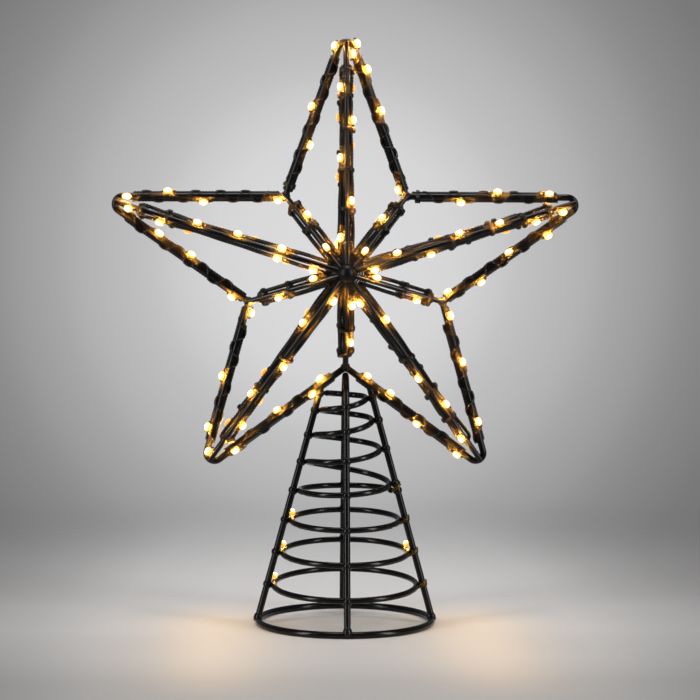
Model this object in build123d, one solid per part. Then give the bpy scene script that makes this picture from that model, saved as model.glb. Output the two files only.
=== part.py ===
from build123d import *
import os
from math import asin, ceil, cos, degrees, pi, radians, sin, sqrt, tan

import numpy as np

# A lit wire star on a cone of legs, spiral and rings that slips over the top shoot of a tree.
# Millimetres, +Z up, front towards -Y. The origin is on the floor under the middle of the base ring.

# Fits between neighbours
weld_gap = 0.1             # left open at each weld, so that no two solids overlap
cable_gap = 0.15           # between a cable, a lamp or a tie and what carries it
overrun = 5.0              # how far a cutting body runs past what it cuts

# Foot
base_ring_radius = 44.7    # to the middle of the wire
base_wire = 3.6
base_flat = 0.2            # ground off under the ring, so that it stands flat
leg_wire = 3.4
leg_lean = 15.2            # degrees from upright
spiral_wire = 3.0
spiral_head_drop = 9.0     # from the top of the hoop's bend down to the spiral's upper end
spiral_foot_rise = 65.3    # from the legs' feet up to the spiral's lower end
spiral_end_gap = 0.6       # between the spiral's lower end and the turn above it
# Height left at each half turn, left and right legs by turns, from the upper end to the last turn.
# The last turn runs level behind the cone and closes under its own start at the right leg.
spiral_half_turn_shares = (1.0, 0.945, 0.812, 0.701, 0.536, 0.385, 0.241, 0.0)
upper_ring_rise = 50.1     # from the legs' feet to the middle of a closed ring
middle_ring_rise = 33.4
lower_ring_rise = 16.7
cone_tilt = 4.0            # degrees by which the turns and the rings hang lower in front

# Star outline, in the middle plane
star_centre_height = 180.5
top_reach = 119.5          # from the star's centre to the outside of a nose
side_reach = 124.8
lower_reach = 120.0
upper_valley_radius = 50.0
side_valley_radius = 51.8
bottom_valley_radius = 48.2
side_arm_angle = 72.9      # degrees from straight up
lower_arm_angle = 144.0
upper_valley_angle = 38.2
side_valley_angle = 106.4
nose_radius = 4.0          # to the middle of the rod
outline_wire = 3.4

# Hubs and their rods
hub_depth = 26.0           # from the middle plane to a hub's centre
hub_ball = 9.3
spoke_wire = 2.8

# Light string: a twisted two-wire cable laid out and back along each rod
cable = 2.4
spoke_strand_offset = 2.8  # from a rod's middle to a strand's middle
bar_strand_offset = 1.7
hub_turn_radius = 2.0      # where the cable turns from one rod to the next
string_tail = 7.0          # from the last turn to each end of a hub's string
front_ridge_stop = 12.0    # from a rod's outer end to the cable's turn
rear_ridge_stop = 28.0
valley_stop = 5.0
bar_nose_stop = 5.0        # from the end of a bar's straight to the cable's turn
bar_valley_stop = 8.5      # from the valley point to the cable's ends
turn_share = 0.98          # of the half width between two strands, for the bend between them

# Lamp drops and ties
lamp_length = 4.7
lamp_width = 2.9
spoke_lamp_gap = 0.3       # between a lamp and the rod of a hub, so that it clears the strand behind it
spoke_lamp_swing = 90.0    # degrees round a rod, from straight ahead to a lamp at its side
bar_lamp_swing = 63.0
tie_band = 0.8
tie_thickness = 0.7
tie_corner = 1.2
# Lamps along each rod, from the hub's centre to the cable's turn, and round it: -1 is on its anticlockwise
# side, 0 in front of it and 1 on its clockwise side. Those past 1 sit near a nose, on the bare rod.
spoke_lamp_shares = {
    "ridge_top": ((0.17, -1), (0.34, 0.5), (0.55, -1), (0.73, 1), (0.89, -1), (1.05, 1)),
    "ridge_right": ((0.12, 0.5), (0.24, -0.6), (0.39, 1), (0.54, -0.7), (0.73, -0.4), (0.9, 1), (1.03, 0.6)),
    "ridge_lower_right": ((0.15, 1), (0.28, -0.6), (0.6, 0.4), (0.78, -0.5), (0.96, 0.4)),
    "ridge_lower_left": ((0.14, -0.6), (0.31, 1), (0.53, -0.5), (0.73, 1), (0.88, -1), (1.08, 1)),
    "ridge_left": ((0.15, -1), (0.31, 0.6), (0.32, -1), (0.52, 0.7), (0.71, 0.5), (0.88, -1), (1.03, -0.3)),
    "valley_upper_right": ((0.29, 0), (0.72, -0.8)),
    "valley_side_right": ((0.3, -0.5), (0.8, 0.8)),
    "valley_bottom": ((0.35, -0.6), (0.78, -0.5)),
    "valley_side_left": ((0.34, 0.5), (0.75, -0.5)),
    "valley_upper_left": ((0.34, 0), (0.77, 0.7)),
}
# Lamps along each arm's two bars, from the cable's ends to its turn, and round the bar: 1 is its outer side
bar_lamp_shares = {
    "top": {-1: ((0.3, -1), (0.58, 1), (1.07, 0.7)), 1: ((-0.06, -1), (0.55, 0.8), (0.88, 1), (1.09, 0.7))},
    "right": {-1: ((0.28, -1), (0.55, 0.8), (0.93, 0.5)),
              1: ((-0.05, -0.9), (0.2, 1), (0.5, -0.5), (0.82, 1))},
    "lower_right": {-1: ((-0.01, 0.6), (0.36, 0.5), (0.84, 0.4)),
                    1: ((0.05, -1), (0.27, -1), (0.57, 0.5), (0.96, 0.7))},
    "lower_left": {-1: ((0.08, -1), (0.2, 0.3), (0.49, -1), (0.93, 0.3)),
                   1: ((-0.05, -1), (0.48, 1), (0.89, 1))},
    "left": {-1: ((0.0, 1), (0.43, -1), (0.72, -0.7)),
             1: ((-0.07, -0.7), (0.48, -1), (0.74, 0.8), (1.04, 0))},
}
ridge_tie_shares = (0.24, 0.45, 0.66, 0.84, 0.97)
valley_tie_shares = (0.56, 0.92)
bar_tie_shares = (0.03, 0.15, 0.25, 0.35, 0.44, 0.53, 0.62, 0.7, 0.79, 0.88, 0.98)
bottom_bar_tie_share = 0.25   # the side legs leave no room for a tie nearer to the bottom joint
# Lamps that lie on the rings of the cone, just behind a side leg
cone_lamp_angle = 9.0      # degrees round the cone from the leg
cone_lamp_sides = {"upper": ("left",), "middle": ("left", "right"), "lower": ("left",)}

# Samples along a wire for its gap to itself, and the stretch along it that doesn't count
gap_samples_per_diameter = 4
gap_skip_diameters = 6

arm_names = ("top", "right", "lower_right", "lower_left", "left")
arm_reaches = (top_reach, side_reach, lower_reach, lower_reach, side_reach)
arm_angles = (0, side_arm_angle, lower_arm_angle, 360 - lower_arm_angle, 360 - side_arm_angle)
valley_names = ("upper_right", "side_right", "bottom", "side_left", "upper_left")
valley_radii = (upper_valley_radius, side_valley_radius, bottom_valley_radius,
                side_valley_radius, upper_valley_radius)
valley_angles = (upper_valley_angle, side_valley_angle, 180,
                 360 - side_valley_angle, 360 - upper_valley_angle)

cone_ring_rises = {"upper": upper_ring_rise, "middle": middle_ring_rise, "lower": lower_ring_rise}

outline_radius = outline_wire / 2
spoke_radius = spoke_wire / 2
cable_radius = cable / 2
lamp_radius = lamp_width / 2
spoke_end_depth = outline_radius + spoke_radius + weld_gap
spoke_crossing = spoke_radius + cable_radius + cable_gap
bar_crossing = outline_radius + cable_radius + cable_gap
ring_height = base_wire / 2 - base_flat
leg_foot_height = ring_height + base_wire / 2 + weld_gap


def on_star(radius, angle, depth=0):
    """A point at a radius and a clockwise angle from straight up, seen from the front."""
    turn = radians(angle)
    return Vector(radius * sin(turn), depth, star_centre_height + radius * cos(turn))


def clockwise(angle):
    """The direction square to the radius at an angle, clockwise seen from the front."""
    return Vector(cos(radians(angle)), 0, -sin(radians(angle)))


def rod(start, end, diameter):
    """A straight round rod between two points."""
    axis = end - start
    return Solid.make_cylinder(diameter / 2, axis.length, Plane(origin=start, z_dir=axis))


def tube(edges, diameter, name):
    """A round wire bent along joined edges; prints its volume check and its least gap to itself."""
    path = Wire(edges)
    section = Plane(origin=path @ 0, z_dir=path % 0) * Circle(diameter / 2)
    wire = sweep(section, path=path)
    expected = pi * diameter**2 / 4 * path.length
    points = []
    for edge in path.edges():
        steps = ceil(edge.length / diameter * gap_samples_per_diameter)
        points += [tuple(edge.position_at(step / steps)) for step in range(steps)]
    points = np.array(points)
    skip = ceil(gap_skip_diameters * gap_samples_per_diameter)
    apart = min(np.linalg.norm(points[first + skip:] - points[first], axis=1).min()
                for first in range(len(points) - skip))
    print(f"{name}: {path.length:.1f} long, volume over section times length {wire.volume / expected:.4f},"
          f" least gap to itself {apart - diameter:.2f}")
    return wire


def save(node, solids):
    """Write one node, which holds one solid or a group of separate ones."""
    shape = solids if not isinstance(solids, list) else Compound(children=solids)
    export_step(shape, f"parts/{node}.step")


def nose_centre(arm):
    """Centre of the bend at an arm's nose."""
    return on_star(arm_reaches[arm] - outline_radius - nose_radius, arm_angles[arm])


def valley(place):
    """The point where two bars meet between neighbouring arms."""
    return on_star(valley_radii[place], valley_angles[place])


def bar_ends(arm, side):
    """A bar's valley point and the point where it runs into the nose; side 1 is the clockwise bar."""
    start = valley(arm if side > 0 else arm - 1)
    run = nose_centre(arm) - start
    turn = degrees(asin(nose_radius / run.length))
    reach = sqrt(run.length**2 - nose_radius**2)
    return start, start + run.normalized().rotate(Axis.Y, side * turn) * reach


def star_point(arm):
    """One rod bent to a V with a round nose, mitred where it meets its neighbours."""
    left_valley, left_touch = bar_ends(arm, -1)
    right_valley, right_touch = bar_ends(arm, 1)
    left_end = left_valley + (left_valley - left_touch).normalized() * overrun
    right_end = right_valley + (right_valley - right_touch).normalized() * overrun
    apex = on_star(arm_reaches[arm] - outline_radius, arm_angles[arm])
    bend = ThreePointArc(left_touch, apex, right_touch)
    edges = [Line(left_end, left_touch), bend, Line(right_touch, right_end)]
    point = tube(edges, outline_wire, arm_names[arm] + " point")
    for place, side in ((arm - 1, 1), (arm, -1)):
        inward = clockwise(valley_angles[place]) * side
        mitre = Plane(origin=on_star(0, 0) + inward * (weld_gap / 2), z_dir=inward)
        point = split(point, bisect_by=mitre, keep=Keep.TOP)
    return point


class Spoke:
    """A straight rod from a hub to a nose or a valley, with the directions that its cable needs."""

    def __init__(self, name, angle, end_radius, stop, face):
        self.name = name
        self.angle = angle
        self.face = face
        self.hub = on_star(0, 0, face * hub_depth)
        self.end = on_star(end_radius, angle, face * spoke_end_depth)
        self.axis = (self.end - self.hub).normalized()
        self.across = clockwise(angle)
        self.back = self.across.cross(self.axis)
        if self.back.Y * face > 0:
            self.back = self.back * -1
        self.length = (self.end - self.hub).length
        self.turn_at = self.length - stop
        self.slope = (hub_depth - spoke_end_depth) / end_radius
        self.hub_turns = {}

    def cable_turn(self, side):
        """The corner of the cable at the outer end of a strand; side 1 is the clockwise strand."""
        aside = self.across * (side * spoke_strand_offset)
        return self.hub + self.axis * self.turn_at + aside + self.back * spoke_crossing

    def strand(self, side, share):
        """A point on a strand, at a share of the way from the hub's turn to the outer turn."""
        inner = self.hub_turns[side]
        return inner + (self.cable_turn(side) - inner) * share


def spokes(face):
    """Ten rods of one hub in clockwise order, from the lower left ridge; face -1 is the front."""
    ridge_stop = front_ridge_stop if face < 0 else rear_ridge_stop
    rods = []
    for place in range(len(arm_names)):
        arm = (place + 3) % len(arm_names)
        end_radius = arm_reaches[arm] - outline_radius
        rods.append(Spoke("ridge_" + arm_names[arm], arm_angles[arm], end_radius, ridge_stop, face))
        rods.append(Spoke("valley_" + valley_names[arm], valley_angles[arm], valley_radii[arm],
                          valley_stop, face))
    for place, spoke in enumerate(rods):
        following = rods[(place + 1) % len(rods)]
        spoke.hub_turns[1] = hub_turn(spoke, following)
        following.hub_turns[-1] = spoke.hub_turns[1]
    return rods


def spoke_start(rods):
    """Distance from the hub's centre at which the rods clear the ball and each other."""
    nearest = min(first.axis.get_angle(second.axis) for first, second in zip(rods, rods[1:]))
    return max(hub_ball / 2, spoke_radius / tan(radians(nearest / 2))) + weld_gap


def hub_turn(first, second):
    """The corner of the cable between two neighbouring rods."""
    half = radians((second.angle - first.angle) % 360 / 2)
    radius = spoke_strand_offset / sin(half)
    depth = hub_depth - radius * cos(half) * (first.slope + second.slope) / 2 - spoke_crossing
    return on_star(radius, first.angle + degrees(half), first.face * depth)


def string_path(rods):
    """The route of one hub's cable: out and back along each rod, and round from rod to rod."""
    points = []
    radii = []
    for spoke in rods:
        for side in (-1, 1):
            points.append(spoke.cable_turn(side))
            radii.append(spoke_strand_offset * turn_share)
        points.append(spoke.hub_turns[1])
        radii.append(hub_turn_radius)
    open_turn = points.pop()
    radii.pop()
    tail = hub_turn_radius + string_tail
    first = open_turn + (points[0] - open_turn).normalized() * tail
    last = open_turn + (points[-1] - open_turn).normalized() * tail
    return FilletPolyline(first, *points, last, radius=radii)


def bar_frame(arm, side):
    """A bar's cable ends: first point, last point, the bar's direction and its outward side."""
    start, touch = bar_ends(arm, side)
    along = (touch - start).normalized()
    outward = along.rotate(Axis.Y, 90 * side)
    return start + along * bar_valley_stop, touch - along * bar_nose_stop, along, outward


def bar_cable(arm, side):
    """The cable behind one bar: up to the nose on one side and back on the other."""
    start, turn, along, outward = bar_frame(arm, side)
    behind = Vector(0, bar_crossing, 0)
    points = [place + behind + outward * (bar_strand_offset * lane)
              for place, lane in ((start, 1), (turn, 1), (turn, -1), (start, -1))]
    path = FilletPolyline(*points, radius=bar_strand_offset * turn_share)
    return tube(path.edges(), cable, arm_names[arm] + " bar cable")


def lamp_bead():
    """One lamp drop along Z: a cylinder with round ends."""
    shoulder = (lamp_length - lamp_width) / 2
    bead = Cylinder(lamp_radius, 2 * shoulder)
    for end in (-shoulder, shoulder):
        bead += Pos(0, 0, end) * Sphere(lamp_radius)
    return bead


def tie(frame, half_width, front, back):
    """A band round a rod and its two strands, on a plane whose y points to the back."""
    width = 2 * (half_width + cable_gap)
    depth = front + back + 2 * cable_gap
    middle = Pos(0, (back - front) / 2)
    band = RectangleRounded(width + 2 * tie_thickness, depth + 2 * tie_thickness, tie_corner + tie_thickness)
    band -= RectangleRounded(width, depth, tie_corner)
    return frame * middle * extrude(band, tie_band / 2, both=True)


def swung(aside, ahead, angle):
    """A direction turned from straight ahead to one side by an angle in degrees."""
    return aside * sin(radians(angle)) + ahead * cos(radians(angle))


def keeps_clear(middle, axis, lamp_places):
    """Whether a tie at a point on a rod passes between the lamps and not over one."""
    room = lamp_length / 2 + tie_band / 2 + cable_gap
    return all(abs((place - middle).dot(axis)) > room for place in lamp_places)


os.makedirs("parts", exist_ok=True)

# Base ring, ground flat underneath
ring = Pos(0, 0, ring_height) * Torus(base_ring_radius, base_wire / 2)
save("base_ring", split(ring, bisect_by=Plane.XY, keep=Keep.TOP))

# Side legs: from the ring up to the lower bars, coped to the round of the bars
lean = radians(leg_lean)
bar_place = {"left": (arm_names.index("lower_left"), -1), "right": (arm_names.index("lower_right"), 1)}
for side, (arm, lane) in bar_place.items():
    valley_end, nose_end = bar_ends(arm, lane)
    bar = nose_end - valley_end
    spare = base_ring_radius - (valley_end.Z - leg_foot_height) * tan(lean)
    meet = valley_end + bar * (spare / (abs(bar.X) + bar.Z * tan(lean)))
    down = (Vector(lane * base_ring_radius, 0, leg_foot_height) - meet).normalized()
    foot = Vector(lane * base_ring_radius, 0, leg_foot_height) + down * overrun
    leg = split(rod(foot, meet, leg_wire), bisect_by=Plane((0, 0, leg_foot_height)), keep=Keep.TOP)
    leg -= rod(valley_end, nose_end, outline_wire + 2 * weld_gap)
    save(f"{side}_leg", leg.solids().sort_by(SortBy.VOLUME)[-1])

# Front and back legs: one rod bent over under the star's bottom joint
bottom_bar = bar_ends(*bar_place["right"])
bar_run = bottom_bar[1] - bottom_bar[0]
bar_slope = abs(bar_run.Z) / bar_run.length
hoop_top = bottom_bar[0].Z - (outline_radius + leg_wire / 2 + weld_gap) / sqrt(1 - bar_slope**2)
hoop_spare = base_ring_radius - (hoop_top - leg_foot_height) * tan(lean)
hoop_radius = hoop_spare / (cos(lean) - (1 - sin(lean)) * tan(lean))
hoop_centre = hoop_top - hoop_radius
shoulder_radius = hoop_radius * cos(lean)
shoulder_height = hoop_centre + hoop_radius * sin(lean)
foot_radius = base_ring_radius + overrun * tan(lean)
front_line = Line((0, -foot_radius, leg_foot_height - overrun), (0, -shoulder_radius, shoulder_height))
hoop_bend = ThreePointArc(front_line @ 1, (0, 0, hoop_top), (0, shoulder_radius, shoulder_height))
back_line = Line(hoop_bend @ 1, (0, foot_radius, leg_foot_height - overrun))
hoop = tube([front_line, hoop_bend, back_line], leg_wire, "front and back leg")
save("front_back_leg_hoop", split(hoop, bisect_by=Plane((0, 0, leg_foot_height)), keep=Keep.TOP))


def spiral_radius(height):
    """Distance of the spiral's middle from the cone's axis, inside the legs and inside the hoop's bend."""
    room = leg_wire / 2 + spiral_wire / 2 + weld_gap
    beside_leg = base_ring_radius - (height - leg_foot_height) * tan(lean) - room / cos(lean)
    rise = max(height - hoop_centre, (hoop_radius - room) * sin(lean))
    under_bend = sqrt((hoop_radius - room) ** 2 - rise**2)
    return min(beside_leg, under_bend) if height > shoulder_height else beside_leg


def spiral_edges():
    """Two tangent arcs for each quarter turn, from the upper end at the left leg down to the right leg."""
    foot = leg_foot_height + spiral_foot_rise
    last_turn = foot + spiral_wire + spiral_end_gap
    drop = hoop_top - spiral_head_drop - last_turn
    halves = [last_turn + drop * share for share in spiral_half_turn_shares] + [foot, foot]
    heights = [halves[0]]
    for half, (upper, lower) in enumerate(zip(halves, halves[1:])):
        middle = (upper + lower) / 2
        sag = spiral_radius(middle) * tan(radians(cone_tilt)) if half % 2 else 0
        heights += [middle - sag, lower]
    places = []
    tangents = []
    for step, height in enumerate(heights):
        before = heights[max(step - 1, 0)]
        after = heights[min(step + 1, len(heights) - 1)]
        turn = pi - step * pi / 2
        radius = spiral_radius(height)
        places.append(Vector(radius * cos(turn), radius * sin(turn), height))
        around = Vector(sin(turn), -cos(turn), 0) * (radius * pi / 2)
        inward = Vector(cos(turn), sin(turn), 0) * ((spiral_radius(after) - spiral_radius(before)) / 2)
        tangents.append((around + inward + Vector(0, 0, (after - before) / 2)).normalized())
    edges = []
    for step, chord in enumerate(after - before for before, after in zip(places, places[1:])):
        leave, arrive = tangents[step], tangents[step + 1]
        spread = 2 * (1 - leave.dot(arrive))
        push = chord.dot(leave + arrive)
        handle = (sqrt(push**2 + spread * chord.dot(chord)) - push) / spread
        first_handle = places[step] + leave * handle
        last_handle = places[step + 1] - arrive * handle
        joint = (first_handle + last_handle) / 2
        edges.append(TangentArc(places[step], joint, tangent=leave))
        edges.append(TangentArc(joint, places[step + 1], tangent=last_handle - first_handle))
    return edges


save("cone_spiral", tube(spiral_edges(), spiral_wire, "cone spiral"))

# Closed rings under the spiral, moved forward to fit the cone where they tilt, and the lamps on them
bead = lamp_bead()
leg_angles = {"left": 180 - cone_lamp_angle, "right": cone_lamp_angle}
cone_lamps = []
for name, ring_rise in cone_ring_rises.items():
    ring_radius = spiral_radius(leg_foot_height + ring_rise)
    forward = ring_radius * tan(radians(cone_tilt)) * tan(lean)
    seat = Pos(0, -forward, leg_foot_height + ring_rise) * Rot(cone_tilt, 0, 0)
    save(f"{name}_cone_ring", seat * Torus(ring_radius, spiral_wire / 2))
    for side in cone_lamp_sides[name]:
        above = Pos(ring_radius, 0, spiral_wire / 2 + lamp_radius + cable_gap)
        cone_lamps.append(seat * Rot(0, 0, leg_angles[side]) * above * Rot(90, 0, 0) * bead)
save("cone_lamp_drops", cone_lamps)

# Star outline: five bent points
for arm, name in enumerate(arm_names):
    save(f"star_point_{name}", star_point(arm))

# Hubs, their rods, light strings, lamps and ties
for face, side in ((-1, "front"), (1, "rear")):
    rods = spokes(face)
    save(f"{side}_hub_ball", Pos(rods[0].hub) * Sphere(hub_ball / 2))
    start = spoke_start(rods)
    lamps = []
    ties = []
    for spoke in rods:
        save(f"{side}_{spoke.name}_rod", rod(spoke.hub + spoke.axis * start, spoke.end, spoke_wire))
        is_ridge = spoke.name.startswith("ridge")
        lamp_places = []
        for share, turned in spoke_lamp_shares[spoke.name]:
            out = swung(spoke.across, spoke.back * -1, spoke_lamp_swing * turned)
            seat = spoke.hub + spoke.axis * (spoke.turn_at * share)
            lamp_places.append(seat + out * (spoke_radius + lamp_radius + spoke_lamp_gap))
        lamps += [Plane(origin=place, z_dir=spoke.axis).location * bead for place in lamp_places]
        for share in ridge_tie_shares if is_ridge else valley_tie_shares:
            strands = [spoke.strand(lane, share) for lane in (-1, 1)]
            along = (strands[0] - spoke.hub).dot(spoke.axis)
            middle = spoke.hub + spoke.axis * along
            if keeps_clear(middle, spoke.axis, lamp_places):
                depths = [(strand - spoke.hub).dot(spoke.back) for strand in strands]
                frame = Plane(origin=middle, x_dir=spoke.back.cross(spoke.axis), z_dir=spoke.axis)
                ties.append(tie(frame, spoke_strand_offset + cable_radius, spoke_radius,
                                max(depths) + cable_radius))
    save(f"{side}_light_string", tube(string_path(rods).edges(), cable, f"{side} light string"))
    save(f"{side}_lamp_drops", lamps)
    save(f"{side}_cable_ties", ties)

# Cables, lamps and ties of the outline bars
outline_lamps = []
outline_ties = []
for arm, name in enumerate(arm_names):
    cables = []
    for side in (-1, 1):
        start, turn, along, outward = bar_frame(arm, side)
        cables.append(bar_cable(arm, side))
        lamp_places = []
        for share, turned in bar_lamp_shares[name][side]:
            out = swung(outward, Vector(0, -1, 0), bar_lamp_swing * turned)
            seat = start + (turn - start) * share
            lamp_places.append(seat + out * (outline_radius + lamp_radius + cable_gap))
        outline_lamps += [Plane(origin=place, z_dir=along).location * bead for place in lamp_places]
        for share in bar_tie_shares:
            middle = start + (turn - start) * share
            beside_leg = (arm, side) in bar_place.values() and share < bottom_bar_tie_share
            if keeps_clear(middle, along, lamp_places) and not beside_leg:
                frame = Plane(origin=middle, x_dir=Vector(0, 1, 0).cross(along), z_dir=along)
                outline_ties.append(tie(frame, bar_strand_offset + cable_radius, outline_radius,
                                        bar_crossing + cable_radius))
    save(f"{name}_point_cables", cables)
save("outline_lamp_drops", outline_lamps)
save("outline_cable_ties", outline_ties)
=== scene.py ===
# %% [markdown]
# # A lit wire star for the top of a tree
# The real object is welded from black wire: five bent points, a hub on each face with ten rods, and a
# cone of legs, spiral and rings that slips over a tree. A light string is lashed along every rod. The
# CAD frame holds every rod in its place, so this lesson keeps the rods and gives them a finish. The
# plain cable, lamp and tie solids give way to twisted cable, glowing drops and turns of thin wire.

import bpy
import numpy as np
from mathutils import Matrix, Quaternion, Vector


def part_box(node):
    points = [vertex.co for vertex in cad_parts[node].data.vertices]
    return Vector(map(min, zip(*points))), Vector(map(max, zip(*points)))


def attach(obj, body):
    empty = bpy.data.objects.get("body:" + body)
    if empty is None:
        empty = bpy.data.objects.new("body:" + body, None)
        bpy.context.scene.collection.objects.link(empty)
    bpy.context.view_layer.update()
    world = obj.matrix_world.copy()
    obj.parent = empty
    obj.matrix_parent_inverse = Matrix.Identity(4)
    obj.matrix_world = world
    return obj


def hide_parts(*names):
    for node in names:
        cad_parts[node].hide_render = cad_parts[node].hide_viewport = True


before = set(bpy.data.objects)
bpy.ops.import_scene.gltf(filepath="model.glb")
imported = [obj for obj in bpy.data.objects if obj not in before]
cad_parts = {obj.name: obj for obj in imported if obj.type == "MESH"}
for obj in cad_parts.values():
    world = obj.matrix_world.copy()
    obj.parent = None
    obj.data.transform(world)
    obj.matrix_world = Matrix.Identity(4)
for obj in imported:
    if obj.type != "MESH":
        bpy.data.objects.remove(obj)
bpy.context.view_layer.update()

mm = 0.001

# %% [markdown]
# ## The camera
# The photograph looks almost straight at the front, from a little above the middle of the star and a
# touch to the left, and it is turned very slightly. A long lens keeps the bars nearly parallel. The
# camera comes first, so every later step can be looked at from the right place.

# %% Place the camera
def into_scene(name, data):
    """A new object that holds the data, linked to the scene."""
    holder = bpy.data.objects.new(name, data)
    bpy.context.scene.collection.objects.link(holder)
    return holder


camera_place = Vector((-0.03, -1.07, 0.19))
camera_aim = Vector((0.0023, 0.0, 0.1411))
camera_roll = Quaternion((0, 0, 1), np.radians(0.15))
camera_lens = 107.35
camera = into_scene("camera", bpy.data.cameras.new("camera"))
camera.location = camera_place
camera.rotation_euler = ((camera_aim - camera_place).to_track_quat("-Z", "Y") @ camera_roll).to_euler()
camera.data.lens = camera_lens
bpy.context.scene.camera = camera
print("camera", round((camera_aim - camera_place).length, 3), "m from its aim")

# %% [markdown]
# ## Tubes as whole arrays
# Cable, lashing wire, lamp drops and weld beads are all round bodies on a line. One function carries
# circles along any number of lines at once, and one more writes the faces. With numpy the points of a
# whole light string come out of a few array sums, with no loop over points.

# %% Helpers for round bodies
def unit(vectors):
    """Each vector divided by its own length."""
    return vectors / np.linalg.norm(vectors, axis=-1, keepdims=True)


def columns(rows):
    """The rows turned into arrays, one for each column."""
    return [np.array(part) for part in zip(*rows)]


def tube_points(paths, radius, sides, up):
    """Circles across many lines at once; paths has the shape tubes, steps, 3.

    With t the tangent, n the part of up that is square to t, and b the cross product of t and n, the point at
    angle a is path + radius * (n cos a + b sin a). The radius may change along the line and round it.
    """
    tangent = unit(np.gradient(paths, axis=1))
    normal = unit(up - (up * tangent).sum(axis=-1, keepdims=True) * tangent)
    side = np.cross(tangent, normal)
    angle = np.linspace(0, 2 * np.pi, sides, endpoint=False)[:, None]
    ring = np.cos(angle) * normal[:, :, None] + np.sin(angle) * side[:, :, None]
    return paths[:, :, None] + radius * ring


def tube_faces(tubes, steps, sides):
    """Quads between neighbouring circles, and a many-sided face on each end of each tube."""
    index = np.arange(tubes * steps * sides).reshape(tubes, steps, sides)
    turned = np.roll(index, -1, axis=2)
    quads = np.stack([index[:, :-1], turned[:, :-1], turned[:, 1:], index[:, 1:]], axis=-1).reshape(-1, 4)
    caps = np.concatenate([index[:, 0, ::-1], index[:, -1]])
    return quads.tolist() + caps.tolist()


print("a tube of 3 circles with 6 sides has", len(tube_faces(1, 3, 6)), "faces")

# %% Add a piece to the model
def add_piece(name, points, material, replaced=()):
    """One mesh of tubes, in place of the CAD nodes named; points has the shape tubes, steps, sides, 3.

    The quads come first and are smooth. The two caps of each tube come last and are flat.
    """
    tubes = points.shape[0]
    corners = tube_faces(*points.shape[:3])
    mesh = bpy.data.meshes.new(name)
    mesh.from_pydata(points.reshape(-1, 3).tolist(), [], corners)
    mesh.polygons.foreach_set("use_smooth", np.arange(len(corners)) < len(corners) - 2 * tubes)
    mesh.materials.append(material)
    piece = into_scene(name, mesh)
    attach(piece, "root")
    if replaced:
        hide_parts(*replaced)
    print(name, "tubes", tubes, "faces", len(corners))
    return piece


print("CAD nodes in the frame:", len(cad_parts))

# %% [markdown]
# ## Black finishes
# The wire is powder coated: black, half glossy, with a fine orange peel and slightly uneven gloss. The
# hub balls are duller. The cable's PVC is a little browner, and the lashing wire is the lightest of the
# four. One recipe makes them all: noise on Object coordinates mixes two near blacks, sets the roughness
# between two values and drives a fine bump. An image would need unwrapped meshes, and noise needs none.

# %% Helpers for materials
def new_material(name):
    """A new material with its nodes, its links and its main shader."""
    material = bpy.data.materials.new(name)
    material.use_nodes = True
    tree = material.node_tree
    return material, tree.nodes, tree.links, tree.nodes["Principled BSDF"]


def noise_node(nodes, scale, detail):
    """A noise texture with so many waves to the metre."""
    noise = nodes.new("ShaderNodeTexNoise")
    noise.inputs["Scale"].default_value = scale
    noise.inputs["Detail"].default_value = detail
    return noise


def range_node(nodes, first, last, low, high, eased=False):
    """Values from first to last become values from low to high, in a straight line or eased at both ends."""
    mapped = nodes.new("ShaderNodeMapRange")
    mapped.interpolation_type = "SMOOTHSTEP" if eased else "LINEAR"
    for socket, value in (("From Min", first), ("From Max", last), ("To Min", low), ("To Max", high)):
        mapped.inputs[socket].default_value = value
    return mapped


def ramp_node(nodes, stops):
    """A colour ramp with a stop for each position and colour."""
    ramp = nodes.new("ShaderNodeValToRGB")
    elements = ramp.color_ramp.elements
    while len(elements) < len(stops):
        elements.new(0.5)
    for element, (position, colour) in zip(elements, stops):
        element.position = position
        element.color = (*colour, 1)
    return ramp


def vector_node(nodes, operation):
    """A vector sum of one kind."""
    node = nodes.new("ShaderNodeVectorMath")
    node.operation = operation
    return node


print("materials before the finishes:", len(bpy.data.materials))

# %% Make the black finishes
patches_per_metre = 90.0


def wire_finish(name, dark, light, smooth, rough, grain, bump, shine):
    """Two tones mixed by a broad noise; roughness and bump follow a noise of the grain's size."""
    material, nodes, links, shader = new_material(name)
    shader.inputs["Specular IOR Level"].default_value = shine
    place = nodes.new("ShaderNodeTexCoord")
    broad = noise_node(nodes, patches_per_metre, detail=4.0)
    fine = noise_node(nodes, 1 / grain, detail=3.0)
    tone = ramp_node(nodes, ((0.35, dark), (0.7, light)))
    gloss = range_node(nodes, 0.3, 0.7, smooth, rough)
    relief = nodes.new("ShaderNodeBump")
    relief.inputs["Strength"].default_value = bump
    relief.inputs["Distance"].default_value = grain / 4
    for noise in (broad, fine):
        links.new(place.outputs["Object"], noise.inputs["Vector"])
    links.new(broad.outputs["Fac"], tone.inputs["Fac"])
    links.new(tone.outputs["Color"], shader.inputs["Base Color"])
    links.new(fine.outputs["Fac"], gloss.inputs["Value"])
    links.new(gloss.outputs["Result"], shader.inputs["Roughness"])
    links.new(fine.outputs["Fac"], relief.inputs["Height"])
    links.new(relief.outputs["Normal"], shader.inputs["Normal"])
    return material


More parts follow.
